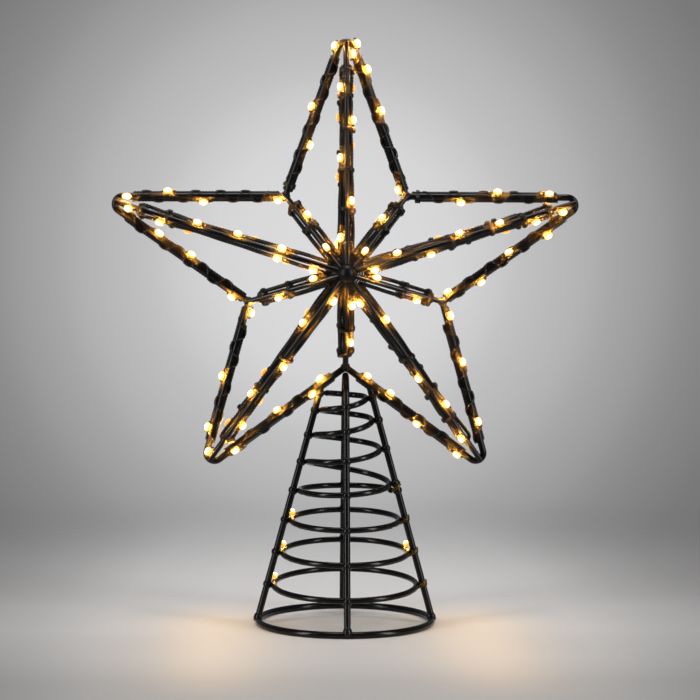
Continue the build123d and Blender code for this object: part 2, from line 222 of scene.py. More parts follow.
coat_dark, coat_light, coat_grain = (0.001, 0.001, 0.0011), (0.003, 0.0028, 0.0027), 0.9 * mm
powder_coat = wire_finish("powder_coat", coat_dark, coat_light, smooth=0.15, rough=0.21, grain=coat_grain,
                          bump=0.02, shine=0.22)
hub_coat = wire_finish("hub_coat", coat_dark, coat_light, smooth=0.36, rough=0.44, grain=coat_grain,
                       bump=0.03, shine=0.2)
cable_pvc = wire_finish("cable_pvc", (0.0012, 0.001, 0.0008), (0.004, 0.003, 0.0018), smooth=0.14, rough=0.24,
                        grain=0.5 * mm, bump=0.05, shine=0.35)
lashing_wire = wire_finish("lashing_wire", (0.003, 0.0025, 0.002), (0.009, 0.0065, 0.004), smooth=0.16,
                           rough=0.26, grain=0.4 * mm, bump=0.05, shine=0.5)
print("finishes:", [finish.name for finish in (powder_coat, hub_coat, cable_pvc, lashing_wire)])

# %% Coat the rods of the frame
dressed_words = ("lamp", "ties", "string", "cables")
coated = [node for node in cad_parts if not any(word in node for word in dressed_words)]
for node in coated:
    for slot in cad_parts[node].material_slots:
        slot.material = hub_coat if "hub" in node else powder_coat
print("powder coat on", len(coated), "CAD nodes")

# %% [markdown]
# ## The star's plan
# Every rod is named by a clockwise angle from straight up, as on a clock face. These are the sizes of
# the CAD part, so a cable, a lamp or a tie worked out here lands on the rod that carries it. The ridge
# rods run to the noses and the valley rods to the joints between the points.

# %% Sizes of the star
hub_middle = sum(np.array(corner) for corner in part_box("front_hub_ball")) / 2
hub_depth, star_height = -hub_middle[1], hub_middle[2]
# Each point has an angle in degrees and a reach in mm, and so has each joint.
arms = {"top": (0, 119.5), "right": (72.9, 124.8), "lower_right": (144, 120.0),
        "lower_left": (216, 120.0), "left": (287.1, 124.8)}
valleys = {"upper_right": (38.2, 50.0), "side_right": (106.4, 51.8), "bottom": (180, 48.2),
           "side_left": (253.6, 51.8), "upper_left": (321.8, 50.0)}
arm_names, valley_names = list(arms), list(valleys)
outline_radius, spoke_radius, nose_radius = 1.7 * mm, 1.4 * mm, 4.0 * mm
cable_radius, fit_gap, weld_gap = 1.2 * mm, 0.15 * mm, 0.1 * mm
spoke_strand_offset, bar_strand_offset = 2.8 * mm, 1.7 * mm
spoke_crossing = spoke_radius + cable_radius + fit_gap
bar_crossing = outline_radius + cable_radius + fit_gap
spoke_end_depth = outline_radius + spoke_radius + weld_gap
depth_axis, up_axis = np.array([0.0, 1.0, 0.0]), np.array([0.0, 0.0, 1.0])


def on_star(radius, angle, depth=0.0):
    """A point at a radius and a clockwise angle from straight up, seen from the front."""
    turn = np.radians(angle)
    return np.array([radius * np.sin(turn), depth, star_height + radius * np.cos(turn)])


print("hub", round(hub_depth / mm, 2), "mm from the middle plane and", round(star_height / mm, 2), "mm up")

# %% One rod of a face
ridge_tie_shares, valley_tie_shares = (0.24, 0.45, 0.66, 0.84, 0.97), (0.56, 0.92)


class Spoke:
    """A straight rod from a hub to a nose or a valley, with the directions that its cable needs."""

    def __init__(self, name, angle, end_radius, stop, face):
        self.name, self.angle, self.face = name, angle, face
        self.is_ridge = name.startswith("ridge")
        self.tie_shares = ridge_tie_shares if self.is_ridge else valley_tie_shares
        self.hub = on_star(0, 0, face * hub_depth)
        self.end = on_star(end_radius, angle, face * spoke_end_depth)
        self.axis = unit(self.end - self.hub)
        self.across = np.array([np.cos(np.radians(angle)), 0.0, -np.sin(np.radians(angle))])
        self.back = np.cross(self.across, self.axis)
        self.back *= -np.sign(self.back[1] * face)
        self.turn_at = np.linalg.norm(self.end - self.hub) - stop
        self.slope = (hub_depth - spoke_end_depth) / end_radius
        self.hub_turns = {}

    def cable_turn(self, side):
        """The outer end of a strand; side 1 is the clockwise strand."""
        return (self.hub + self.axis * self.turn_at + self.across * (side * spoke_strand_offset)
                + self.back * spoke_crossing)

    def strand(self, side, share):
        """A point on a strand, at a share of the way from the hub's turn to the outer turn."""
        return self.hub_turns[side] + (self.cable_turn(side) - self.hub_turns[side]) * share


print("ties on a ridge rod:", len(ridge_tie_shares), "and on a valley rod:", len(valley_tie_shares))

# %% Rods of the two faces
ridge_stops, valley_stop = {-1: 12.0 * mm, 1: 28.0 * mm}, 5.0 * mm


def hub_turn(first, second):
    """Where the cable turns from one rod to the next: both strands keep their offset there."""
    half = np.radians((second.angle - first.angle) % 360 / 2)
    radius = spoke_strand_offset / np.sin(half)
    depth = hub_depth - radius * np.cos(half) * (first.slope + second.slope) / 2 - spoke_crossing
    return on_star(radius, first.angle + np.degrees(half), first.face * depth)


def spokes(face):
    """Ten rods of one hub in clockwise order, from the lower left ridge; face -1 is the front."""
    rods = []
    for place in range(3, 8):
        arm, valley = arm_names[place % 5], valley_names[place % 5]
        angle, reach = arms[arm]
        rods.append(Spoke("ridge_" + arm, angle, reach * mm - outline_radius, ridge_stops[face], face))
        angle, radius = valleys[valley]
        rods.append(Spoke("valley_" + valley, angle, radius * mm, valley_stop, face))
    for first, second in zip(rods, rods[1:] + rods[:1]):
        first.hub_turns[1] = second.hub_turns[-1] = hub_turn(first, second)
    return rods


face_rods = {"front": spokes(-1), "rear": spokes(1)}
print("rods:", [rod.name for rod in face_rods["front"]])

# %% Bars of the outline
bar_cable_start, bar_cable_stop = 8.5 * mm, 5.0 * mm


class Bar:
    """One straight of a star point, from its valley to the start of the nose's bend; side 1 is clockwise."""

    def __init__(self, arm, side):
        self.arm, self.side = arm, side
        place = arm_names.index(arm)
        joint = valley_names[place if side > 0 else place - 1]
        self.at_bottom = joint == "bottom"
        angle, radius = valleys[joint]
        self.valley = on_star(radius * mm, angle)
        angle, reach = arms[arm]
        run = on_star(reach * mm - outline_radius - nose_radius, angle) - self.valley
        length = np.linalg.norm(run)
        turn = -side * np.arcsin(nose_radius / length)
        x, z = unit(run)[[0, 2]]
        self.along = np.array([x * np.cos(turn) - z * np.sin(turn), 0.0, x * np.sin(turn) + z * np.cos(turn)])
        self.outward = side * np.array([self.along[2], 0.0, -self.along[0]])
        self.touch = self.valley + self.along * np.sqrt(length**2 - nose_radius**2)
        self.start = self.valley + self.along * bar_cable_start
        self.turn = self.touch - self.along * bar_cable_stop

    def at(self, share):
        """A point on the bar's middle line, at a share of its cable's run."""
        return self.start + (self.turn - self.start) * share


bars = {(arm, side): Bar(arm, side) for arm in arms for side in (-1, 1)}
print("bar run", round(np.linalg.norm(bars["top", 1].turn - bars["top", 1].start) / mm, 1), "mm")

# %% [markdown]
# ## Twisted cable
# The light string is a cable of two insulated wires twisted together. It runs out along one side of a
# rod, turns behind its end and comes back along the other side. The route's corners are the control
# points of a smooth spline, with more points near each sharp corner to keep the long stretches
# straight. Two wires then wind round that line like the strands of a rope. A bump could draw the twist
# on a plain tube, but as real geometry it also catches the light and shows at the edges.

# %% Draw a smooth line along a route
def spline_points(route):
    """Points of the smooth NURBS line that has the route's corners as its control points."""
    curve = bpy.data.curves.new("route", "CURVE")
    curve.dimensions = "3D"
    spline = curve.splines.new("NURBS")
    spline.points.add(len(route) - 1)
    spline.points.foreach_set("co", np.column_stack([route, np.ones(len(route))]).ravel())
    spline.order_u = 3
    spline.use_endpoint_u = True
    spline.resolution_u = 16
    holder = into_scene("route", curve)
    line = bpy.data.meshes.new_from_object(holder.evaluated_get(bpy.context.evaluated_depsgraph_get()))
    points = np.empty(len(line.vertices) * 3)
    line.vertices.foreach_get("co", points)
    bpy.data.objects.remove(holder)
    bpy.data.curves.remove(curve)
    bpy.data.meshes.remove(line)
    return points.reshape(-1, 3)


def even_steps(line, step):
    """The same line at even steps of length, with the length run at each."""
    run = np.concatenate([[0], np.cumsum(np.linalg.norm(np.diff(line, axis=0), axis=1))])
    at = np.linspace(0, run[-1], int(run[-1] / step))
    return at, np.column_stack([np.interp(at, run, line[:, axis]) for axis in range(3)])


square_corner = np.array([[0.0, 0.0, 0.0], [1.0, 0.0, 0.0], [1.0, 1.0, 0.0]])
print("a corner of three points becomes", len(spline_points(square_corner)), "points")

# %% Twist two wires
wire_radius, wire_offset, wire_sides = 0.7 * mm, 0.46 * mm, 6
twist_pitch, steps_per_twist = 3.3 * mm, 8


def twisted_pair(route):
    """Two wires opposite each other on a helix.

    A wire is at centre + offset * (n cos a + b sin a), with the angle a growing evenly with the length.
    """
    at, centre = even_steps(spline_points(route), twist_pitch / steps_per_twist)
    tangent = unit(np.gradient(centre, axis=0))
    normal = unit(depth_axis - tangent * tangent[:, 1:2])
    side = np.cross(tangent, normal)
    angle = (2 * np.pi * at / twist_pitch + np.array([[0], [np.pi]]))[:, :, None]
    wires = centre + wire_offset * (np.cos(angle) * normal + np.sin(angle) * side)
    print("  cable", round(at[-1] / mm, 1), "mm")
    return tube_points(wires, wire_radius, wire_sides, depth_axis)


print("the twisted pair is", round(2 * (wire_offset + wire_radius) / mm, 2), "mm across")

# %% Lay a strand along a rod
hub_hold, end_hold = 6.0 * mm, 2 * spoke_strand_offset
loose_at_hub, ridge_draw, ridge_tightest, valley_draw = 0.35 * mm, 1.6 * mm, -0.7 * mm, 0.3 * mm
bow_before, bow_out, tie_pull = 0.1, 0.25 * mm, -0.1 * mm


def toward(start, end, distance):
    """The point at a distance from start on the way to end."""
    return start + unit(end - start) * distance


def spread(rod, share):
    """How far a strand lies outside its even line: loose near the hub, and drawn in towards the rod's end."""
    if rod.is_ridge:
        return max(loose_at_hub - ridge_draw * share, ridge_tightest)
    return loose_at_hub - valley_draw * share


def strand_corners(rod, side):
    """Corners of a strand from hub to outer end: drawn in at each tie but the last, bowed out before it."""
    ties = np.array(rod.tie_shares[:-1])
    shares = np.sort(np.concatenate([ties, ties - bow_before]))
    aside = [spread(rod, share) + (tie_pull if share in ties else bow_out) for share in shares]
    laid = [rod.strand(side, share) + rod.across * side * out for share, out in zip(shares, aside)]
    inner, outer = rod.hub_turns[side], rod.cable_turn(side)
    return [inner, toward(inner, outer, hub_hold), *laid, toward(outer, inner, end_hold), outer]


print("corners of a ridge strand:", len(strand_corners(face_rods["front"][0], 1)))

# %% Wind the cables of the faces
tuck_side, tuck_depth = 1.3 * mm, 11.0 * mm
for face, rods in face_rods.items():
    behind_hub = on_star(0, 0, rods[0].face * (hub_depth - tuck_depth))
    apart = unit(rods[0].across + rods[-1].across) * tuck_side
    route = []
    for rod in rods:
        # The way back stops short of the hub's turn, which is also the next rod's first corner.
        route += strand_corners(rod, -1) + strand_corners(rod, 1)[:0:-1]
    gathered = (route[0] + behind_hub) / 2
    route = [gathered + apart, route[0] + apart] + route[1:] + [route[0] - apart, gathered - apart]
    add_piece(f"{face}_twisted_cable", twisted_pair(np.array(route)), cable_pvc,
              [f"{face}_light_string"])

# %% [markdown]
# The cable of a bar lies behind it. It runs close up to the joint, apart from the bottom joint, where
# the legs are. The two cables of a point share one mesh, so both get the step count of the shorter one.

# %% Wind the cables of the bars
joint_reach = 5.2 * mm
for arm in arms:
    pairs = []
    for side in (-1, 1):
        bar = bars[arm, side]
        lanes = [depth_axis * bar_crossing + bar.outward * bar_strand_offset * lane for lane in (1, -1)]
        tail = bar.start - bar.along * (0 if bar.at_bottom else joint_reach)
        corners = [tail, bar.turn - bar.along * 2 * bar_strand_offset, bar.turn]
        route = [corner + lanes[0] for corner in corners] + [corner + lanes[1] for corner in corners[::-1]]
        pairs.append(twisted_pair(np.array(route)))
    steps = min(pair.shape[1] for pair in pairs)
    both = np.concatenate([pair[:, :steps] for pair in pairs])
    add_piece(f"{arm}_bar_cable", both, cable_pvc, [f"{arm}_point_cables"])

# %% [markdown]
# ## Glowing lamp drops
# Each lamp is a tiny light in a drop of clear resin, set on the cable. Its outer face is white hot, and
# the resin glows amber towards the cable and at its tips. A drop is a short tube whose radius swells
# and closes, and an attribute says how much of each point faces out, so the glow is part of the drop
# and not of the view.

# %% Make the lamp glow
glow_strength, resin_roughness = 20.0, 0.12
lamp_glow, nodes, links, shader = new_material("lamp_glow")
shader.inputs["Roughness"].default_value = resin_roughness
shader.inputs["Emission Strength"].default_value = glow_strength
facing = nodes.new("ShaderNodeAttribute")
facing.attribute_name = "facing_out"
heat = ramp_node(nodes, ((0.05, (0.05, 0.017, 0.001)), (0.78, (0.11, 0.046, 0.005)),
                         (1.0, (1.0, 0.74, 0.36))))
resin = ramp_node(nodes, ((0.0, (0.8, 0.5, 0.16)), (1.0, (1.0, 0.9, 0.7))))
for ramp, socket in ((heat, "Emission Color"), (resin, "Base Color")):
    links.new(facing.outputs["Fac"], ramp.inputs["Fac"])
    links.new(ramp.outputs["Color"], shader.inputs[socket])
print("lamp glow strength", glow_strength)

# %% [markdown]
# The lamps sit unevenly, as in the photograph, so each has its own place: a share of the rod's length,
# and how far it is swung from the front to one side, from -1 to 1.

# %% Places of the lamps
spoke_lamp_shares = {
    "ridge_top": ((0.17, -1), (0.34, 0.5), (0.55, -1), (0.73, 1), (0.89, -1), (1.05, 1)),
    "ridge_right": ((0.12, 0.5), (0.24, -0.6), (0.39, 1), (0.54, -0.7), (0.73, -0.4), (0.9, 1), (1.03, 0.6)),
    "ridge_lower_right": ((0.15, 1), (0.28, -0.6), (0.6, 0.4), (0.78, -0.5), (0.96, 0.4)),
    "ridge_lower_left": ((0.14, -0.6), (0.31, 1), (0.53, -0.5), (0.73, 1), (0.88, -1), (1.08, 1)),
    "ridge_left": ((0.15, -1), (0.31, 0.6), (0.32, -1), (0.52, 0.7), (0.71, 0.5), (0.88, -1), (1.03, -0.3)),
    "valley_upper_right": ((0.29, 0), (0.72, -0.8)),
    "valley_side_right": ((0.3, -0.5), (0.8, 0.8)),
    "valley_bottom": ((0.35, -0.6), (0.78, -0.5)),
    "valley_side_left": ((0.34, 0.5), (0.75, -0.5)),
    "valley_upper_left": ((0.34, 0), (0.77, 0.7)),
}
bar_lamp_shares = {
    "top": {-1: ((0.3, -1), (0.58, 1), (1.07, 0.7)), 1: ((-0.06, -1), (0.55, 0.8), (0.88, 1), (1.09, 0.7))},
    "right": {-1: ((0.28, -1), (0.55, 0.8), (0.93, 0.5)),
              1: ((-0.05, -0.9), (0.2, 1), (0.5, -0.5), (0.82, 1))},
    "lower_right": {-1: ((-0.01, 0.6), (0.36, 0.5), (0.84, 0.4)),
                    1: ((0.05, -1), (0.27, -1), (0.57, 0.5), (0.96, 0.7))},
    "lower_left": {-1: ((0.08, -1), (0.2, 0.3), (0.49, -1), (0.93, 0.3)),
                   1: ((-0.05, -1), (0.48, 1), (0.89, 1))},
    "left": {-1: ((0.0, 1), (0.43, -1), (0.72, -0.7)),
             1: ((-0.07, -0.7), (0.48, -1), (0.74, 0.8), (1.04, 0))},
}
print("lamps on the rods of a face:", sum(len(places) for places in spoke_lamp_shares.values()))

# %% [markdown]
# Four more lamps lie on the rings of the cone. The legs of the cone lean in towards the star, and its
# rings hang lower in front, so a lamp's place on a ring follows from a height and an angle.

# %% Sizes of the cone
ring_radius, leg_foot, lean, tilt = 44.7 * mm, 3.5 * mm, np.tan(np.radians(15.2)), np.tan(np.radians(4.0))
ring_wire_radius, beside_leg = 1.5 * mm, 3.42 * mm
ring_heights = np.array([53.6, 36.9, 20.2]) * mm


def leg_line(height):
    """How far the middle of a leg of the cone is from the axis at a height."""
    return ring_radius - (height - leg_foot) * lean


print("a leg leans in by", round(lean, 3), "and a ring tilts by", round(tilt, 3))

# %% Set the lamps on rods, bars and rings
spoke_lamp_lift, bar_lamp_lift = 1.75 * mm, 1.7 * mm
spoke_swing, bar_swing = np.pi / 2, np.radians(63.0)
cone_lamp_glow = unit(np.array([0.0, -1.0, 0.7]))
right_lamp_angle, left_lamp_angle = 9, 171


def lamp_row(seat, axis, aside, ahead, swing, stand_off):
    """Centre, axis and glow direction of a lamp swung round a rod.

    It lies at aside * sin(swing) + ahead * cos(swing), and the glow turns halfway back to the front.
    """
    out = aside * np.sin(swing) + ahead * np.cos(swing)
    return seat + out * stand_off, axis, unit(out + ahead)


def spoke_lamps(rod):
    """Rows for the lamps of one rod, at shares of its length."""
    return [lamp_row(rod.hub + rod.axis * rod.turn_at * share, rod.axis, rod.across, -rod.back,
                     spoke_swing * turned, spoke_radius + spoke_lamp_lift)
            for share, turned in spoke_lamp_shares[rod.name]]


def bar_lamps(bar):
    """Rows for the lamps of one bar, at shares of its cable's run."""
    return [lamp_row(bar.at(share), bar.along, bar.outward, -depth_axis,
                     bar_swing * turned, outline_radius + bar_lamp_lift)
            for share, turned in bar_lamp_shares[bar.arm][bar.side]]


def cone_lamp(height, degrees):
    """A row for a lamp that lies on a tilted ring of the cone, at an angle round it from the right leg."""
    turn, radius = np.radians(degrees), leg_line(height) - beside_leg
    x, y = radius * np.cos(turn), radius * np.sin(turn)
    seat = np.array([x, y - radius * tilt * lean, height + y * tilt + (ring_wire_radius + bar_lamp_lift)])
    return seat, np.array([-np.sin(turn), np.cos(turn), tilt * np.cos(turn)]), cone_lamp_glow


lamps = {face: [row for rod in rods for row in spoke_lamps(rod)] for face, rods in face_rods.items()}
lamps["outline"] = [row for bar in bars.values() for row in bar_lamps(bar)]
lamps["cone"] = [cone_lamp(height, left_lamp_angle) for height in ring_heights]
lamps["cone"].append(cone_lamp(ring_heights[1], right_lamp_angle))
print("lamps:", {group: len(rows) for group, rows in lamps.items()})

# %% Shape the drops and their leads
lamp_length, lamp_width, drop_rows, drop_sides = 4.6 * mm, 3.2 * mm, 9, 10
lead_radius, lead_run, lead_sides = 0.42 * mm, 0.8 * mm, 5
lead_root, lead_drop = 0.46 * lamp_length, 0.5 * lamp_width
tip_to_tip = np.linspace(0.1, np.pi - 0.1, drop_rows)


def drop_points(centres, axes, outwards):
    """A drop as a tube from tip to tip.

    At angle t the tube's middle is at -length / 2 * cos t along the axis, and its radius is
    width / 2 * (sin t)^0.65.
    """
    middle = lamp_length / 2 * np.cos(tip_to_tip) / np.cos(tip_to_tip[0])
    paths = centres[:, None] - middle[:, None] * axes[:, None]
    radius = (lamp_width / 2 * np.sin(tip_to_tip) ** 0.65)[None, :, None, None]
    return tube_points(paths, radius, drop_sides, outwards[:, None])


def lead_points(centres, axes, outwards):
    """Two bent leads for each drop: from its tip, a quarter of an ellipse down and along into the cable."""
    a = np.linspace(0, np.pi / 2, 5)[:, None]
    ends = np.concatenate([centres + axes * lead_root, centres - axes * lead_root])
    away = np.concatenate([axes, -axes])[:, None]
    down = np.concatenate([outwards, outwards])[:, None] * -lead_drop
    paths = ends[:, None] + away * np.sin(a) * lead_run + down * (1 - np.cos(a))
    return tube_points(paths, lead_radius, lead_sides, np.cross(away, down))


around = np.linspace(0, 2 * np.pi, drop_sides, endpoint=False)
facing_out = np.clip(0.15 + 0.9 * np.cos(around), 0, 1) * np.sin(tip_to_tip)[:, None] ** 0.8
print("a drop has", facing_out.size, "points, and its mean share facing out is", round(facing_out.mean(), 2))

# %% [markdown]
# A glowing surface as small as a drop lights its surroundings weakly and with much noise, so each drop
# also holds a point light. Its nodes let the light fall to nothing 12 mm away: the wires beside a lamp
# turn gold, and the others stay black. The drops cast no shadow, so the light can leave them. The drops
# on the cone have no leads.

# %% Light the lamps
spark_watts, spark_colour, full_light, no_light = 0.6, (1.0, 0.46, 0.05), 1.5 * mm, 12.0 * mm
spark = bpy.data.lights.new("spark", "POINT")
spark.energy, spark.color, spark.shadow_soft_size = spark_watts, spark_colour, lamp_width / 3
spark.use_nodes = True
nodes, links = spark.node_tree.nodes, spark.node_tree.links
way = nodes.new("ShaderNodeLightPath")
falling = range_node(nodes, full_light, no_light, 1.0, 0.0, eased=True)
links.new(way.outputs["Ray Length"], falling.inputs["Value"])
links.new(falling.outputs["Result"], nodes["Emission"].inputs["Strength"])
sparks = []
for group, rows in lamps.items():
    centres, axes, outwards = columns(rows)
    drops = add_piece(f"{group}_glowing_drops", drop_points(centres, axes, outwards), lamp_glow,
                      [f"{group}_lamp_drops"])
    drops.visible_shadow = False
    glow = drops.data.attributes.new("facing_out", "FLOAT", "POINT")
    glow.data.foreach_set("value", np.tile(facing_out.ravel(), len(rows)))
    if group != "cone":
        add_piece(f"{group}_lamp_leads", lead_points(centres, axes, outwards), cable_pvc)
    for number, centre in enumerate(centres):
        light = into_scene(f"{group}_light_{number:02d}", spark)
        light.location = centre
        sparks.append(light)
print("sparks:", len(sparks))

# %% [markdown]
# ## Lashings
# Thin wire ties the cable to the rods. On a rod of a face it takes a little over two turns round the
# rod and both strands, squared off like a tight band, and a knot of close turns sits on one strand.
# Each wire could be a curve object with a bevel. Here one formula gives the turns of all ties at once,
# as one mesh for each face.

# %% Wind wire round a bundle
tie_start_angle = 0.8


def wound(centres, across, back, along, half_width, front, behind, turns, rise, slant, squareness, steps):
    """Thin wire round a bundle, at many places at once.

    At angle a the wire is at across * half_width * c + back * (middle + half_depth * s), where c and s are
    the cosine and sine of a with their size raised to the squareness. It climbs by rise in each turn, and
    leans by slant times its place across.
    """
    a = np.linspace(0, 2 * np.pi * turns, steps) + tie_start_angle
    c = np.sign(np.cos(a)) * np.abs(np.cos(a)) ** squareness
    s = np.sign(np.sin(a)) * np.abs(np.sin(a)) ** squareness
    aside = np.asarray(half_width)[..., None] * c
    deep = np.asarray((behind - front) / 2)[..., None] + np.asarray((behind + front) / 2)[..., None] * s
    climb = rise * (a - a.mean()) / (2 * np.pi) + np.asarray(slant)[..., None] * aside
    return (centres[:, None] + across[:, None] * aside[..., None] + back[:, None] * deep[..., None]
            + along[:, None] * climb[..., None])


def knot_points(centres, axes, radius, half_length, taper):
    """A barrel of close turns along axes: the radius follows (sin t)^taper, with two winding ridges."""
    t = np.linspace(0.12, np.pi - 0.12, 9)
    paths = centres[:, None] - (half_length * np.cos(t) / np.cos(t[0]))[:, None] * axes[:, None]
    angle = np.linspace(0, 2 * np.pi, 8, endpoint=False)
    ridges = 1 + 0.12 * np.sin(2 * angle + 7 * t[:, None])
    size = radius * np.sin(t)[:, None] ** taper * ridges
    return tube_points(paths, size[None, ..., None], 8, depth_axis)


print("a tie starts", round(np.degrees(tie_start_angle)), "degrees past the side of its rod")

# %% Tie the cable to the rods
tie_radius, tie_sides, tie_room, most_slant = 0.36 * mm, 5, 0.1 * mm, 0.35
knot_aside = spoke_strand_offset + 0.5 * mm
lash_gap = fit_gap + tie_radius
lamp_room = lamp_length / 2 + 0.55 * mm
rng = np.random.default_rng(7)


def keeps_clear(middle, axis, rows):
    """Whether a turn at a point on a rod passes between the lamps."""
    return all(abs((row[0] - middle) @ axis) > lamp_room for row in rows)


def spoke_ties(rod):
    """Rows of centre, across, back, along, depth behind and half width, for the ties on one rod of a face."""
    rows, near = [], spoke_lamps(rod)
    for share in rod.tie_shares:
        strands = [rod.strand(lane, share) for lane in (-1, 1)]
        middle = rod.hub + rod.axis * ((strands[0] - rod.hub) @ rod.axis)
        if keeps_clear(middle, rod.axis, near):
            behind = max((strand - rod.hub) @ rod.back for strand in strands) + cable_radius
            half_width = spoke_strand_offset + spread(rod, share) + wire_offset + wire_radius
            rows.append((middle, rod.across, rod.back, rod.axis, behind, half_width))
    return rows


for face, rods in face_rods.items():
    rows = [row for rod in rods for row in spoke_ties(rod)]
    centres, across, back, along, behind, half_width = columns(rows)
    slants = rng.uniform(-most_slant, most_slant, len(rows))
    turns = wound(centres, across, back, along, half_width + tie_room, spoke_radius + lash_gap,
                  behind + tie_radius, turns=2.2, rise=0.9 * mm, slant=slants, squareness=0.85, steps=40)
    add_piece(f"{face}_lashings", tube_points(turns, tie_radius, tie_sides, along[:, None]), lashing_wire,
              [f"{face}_cable_ties"])
    lanes = np.where(np.arange(len(rows)) % 2, 1, -1)[:, None] * knot_aside
    knots = centres + across * lanes + back * (behind - cable_radius)[:, None]
    add_piece(f"{face}_knots", knot_points(knots, along, radius=1.35 * mm, half_length=1.5 * mm, taper=0.5),
              lashing_wire)

# %% [markdown]
# Behind each hub the turns of the cable are bound together, and the two ends of the string are tucked
# into the binding. It is a flat spiral of wire, drawn back along the cone of the rods.

# %% Bind the cable behind the hubs
binding_turns, binding_steps, binding_wire = 5, 150, 0.55 * mm
binding_inside, binding_outside = 4.0 * mm, 10.4 * mm
binding_set_back, binding_slope = 4.6 * mm, 0.456
a = np.linspace(0, 2 * np.pi * binding_turns, binding_steps)
reach = np.linspace(binding_inside, binding_outside, binding_steps)
for face, rods in face_rods.items():
    depth = rods[0].face * (hub_depth - binding_set_back - binding_slope * reach)
    spiral = np.column_stack([reach * np.cos(a), depth, star_height + reach * np.sin(a)])[None]
    add_piece(f"{face}_hub_binding", tube_points(spiral, binding_wire, 7, depth_axis), lashing_wire)

# %% [markdown]
# The outline bars are laced: one wire runs from side to side over the front of a bar. It dwells on each
# side, where a few turns round the cable make a hump, and leans as it crosses over. A sine flattened by
# tanh does that. The laces start a little later beside the bottom joint, where the legs are.

# %% Lace the outline bars
lace_radius, lace_side, lace_behind, lace_ahead = 0.34 * mm, 2.62 * mm, 1.2 * mm, outline_radius + 0.45 * mm
lace_dwell, lace_points, bottom_lace_share = 1.3, 260, 0.14
lace_spacing, lace_shift = (6.4, 7.6), (0.2, 0.8)
starts, ends, sides, alongs = columns((bar.start, bar.turn, bar.outward, bar.along) for bar in bars.values())
count = len(starts)
length = np.linalg.norm(ends - starts, axis=1)
crossings = np.round(length / rng.uniform(*lace_spacing, count) / mm)[:, None]
phase = (np.pi * rng.uniform(*lace_shift, count))[:, None]
first = np.array([[bottom_lace_share if bar.at_bottom else 0.0] for bar in bars.values()])


def lace(share):
    """Points at shares of each bar's run, on a wire that swings from side to side.

    The swing g = tanh(1.3 sin(phase + pi * crossings * share)) / tanh(1.3) dwells at -1 and 1. The place
    across is side * g. The depth is behind * g^6 - ahead * sqrt(1 - 0.94 g^2), so the wire is in front where
    it crosses over and behind at the sides.
    """
    g = np.tanh(lace_dwell * np.sin(phase + np.pi * crossings * share)) / np.tanh(lace_dwell)
    depth = lace_behind * g**6 - lace_ahead * np.sqrt(1 - 0.94 * g**2)
    run = (ends - starts)[:, None] * share[..., None]
    return starts[:, None] + run + sides[:, None] * (lace_side * g)[..., None] + depth_axis * depth[..., None]


laces = lace(first + (1 - first) * np.linspace(0, 1, lace_points))
add_piece("outline_lacing", tube_points(laces, lace_radius, 6, depth_axis), lashing_wire,
          ["outline_cable_ties"])

# %% Set the humps of the laces
most_humps, hump_depth, end_margin = 12, 0.5 * mm, 0.02
extremes = (np.pi * (np.arange(most_humps) + 0.5) - phase) / (np.pi * crossings)
kept = (extremes > first + end_margin) & (extremes < 1 - end_margin)
humps = (lace(extremes) + depth_axis * hump_depth)[kept]
hump_axes = np.repeat(alongs[:, None], most_humps, axis=1)[kept]
add_piece("outline_humps", knot_points(humps, hump_axes, radius=0.72 * mm, half_length=2.5 * mm, taper=0.8),
          lashing_wire)

# %% [markdown]
# Beside the upper and side joints a few close turns hold the ends of a bar's cable, where no lamp is in
# the way.

# %% Bind the cable beside the joints
wrap_place, wrap_wire = 5.8 * mm, 0.42 * mm
wrap_rows = []
for bar in bars.values():
    centre = bar.valley + bar.along * wrap_place
    if not bar.at_bottom and keeps_clear(centre, bar.along, bar_lamps(bar)):
        wrap_rows.append((centre, bar.outward, depth_axis, bar.along))
centres, across, back, along = columns(wrap_rows)
wraps = wound(centres, across, back, along, half_width=3.1 * mm, front=2.2 * mm, behind=4.6 * mm,
              turns=2.4, rise=0.9 * mm, slant=0.0, squareness=0.85, steps=48)
add_piece("valley_wraps", tube_points(wraps, wrap_wire, 6, along[:, None]), lashing_wire)

# %% [markdown]
# ## Weld beads
# Where two wires cross, a bead of weld joins them: the legs stand on the ring in a bead, each crossing
# of a leg with the spiral or a ring has one, and so have the noses and the valleys. A bead is a drop
# with a slightly lumpy round, coated with the wires. Heights are counted in quarter turns: left, back,
# right and front.

# %% Find the crossings on the cone
spiral_head, last_turn, spiral_foot = 118.96 * mm, 72.4 * mm, 68.8 * mm
turn_shares = np.array([1.0, 0.945, 0.812, 0.701, 0.536, 0.385, 0.241, 0.0])
half_turns = np.concatenate([last_turn + (spiral_head - last_turn) * turn_shares, [spiral_foot, spiral_foot]])
quarters = np.arange(2 * len(half_turns) - 1)
spiral_heights = np.interp(quarters / 2, np.arange(len(half_turns)), half_turns)
spiral_heights -= np.where(quarters % 4 == 3, (leg_line(spiral_heights) - beside_leg) * tilt, 0)
quarter_rise = np.array([0, 1, 0, -1])
around_rings = ring_heights[:, None] + (leg_line(ring_heights) - beside_leg)[:, None] * tilt * quarter_rise
heights = np.concatenate([spiral_heights, around_rings.ravel()])
turn = np.pi - np.concatenate([quarters, np.tile(np.arange(4), len(ring_heights))]) * np.pi / 2
outward = np.column_stack([np.cos(turn), np.sin(turn), 0 * turn])
print("crossings on the cone:", len(heights))

# %% Set the weld beads
bead_inset, foot_bead_height, nose_inset = 0.2 * mm, 3.0 * mm, 3.3


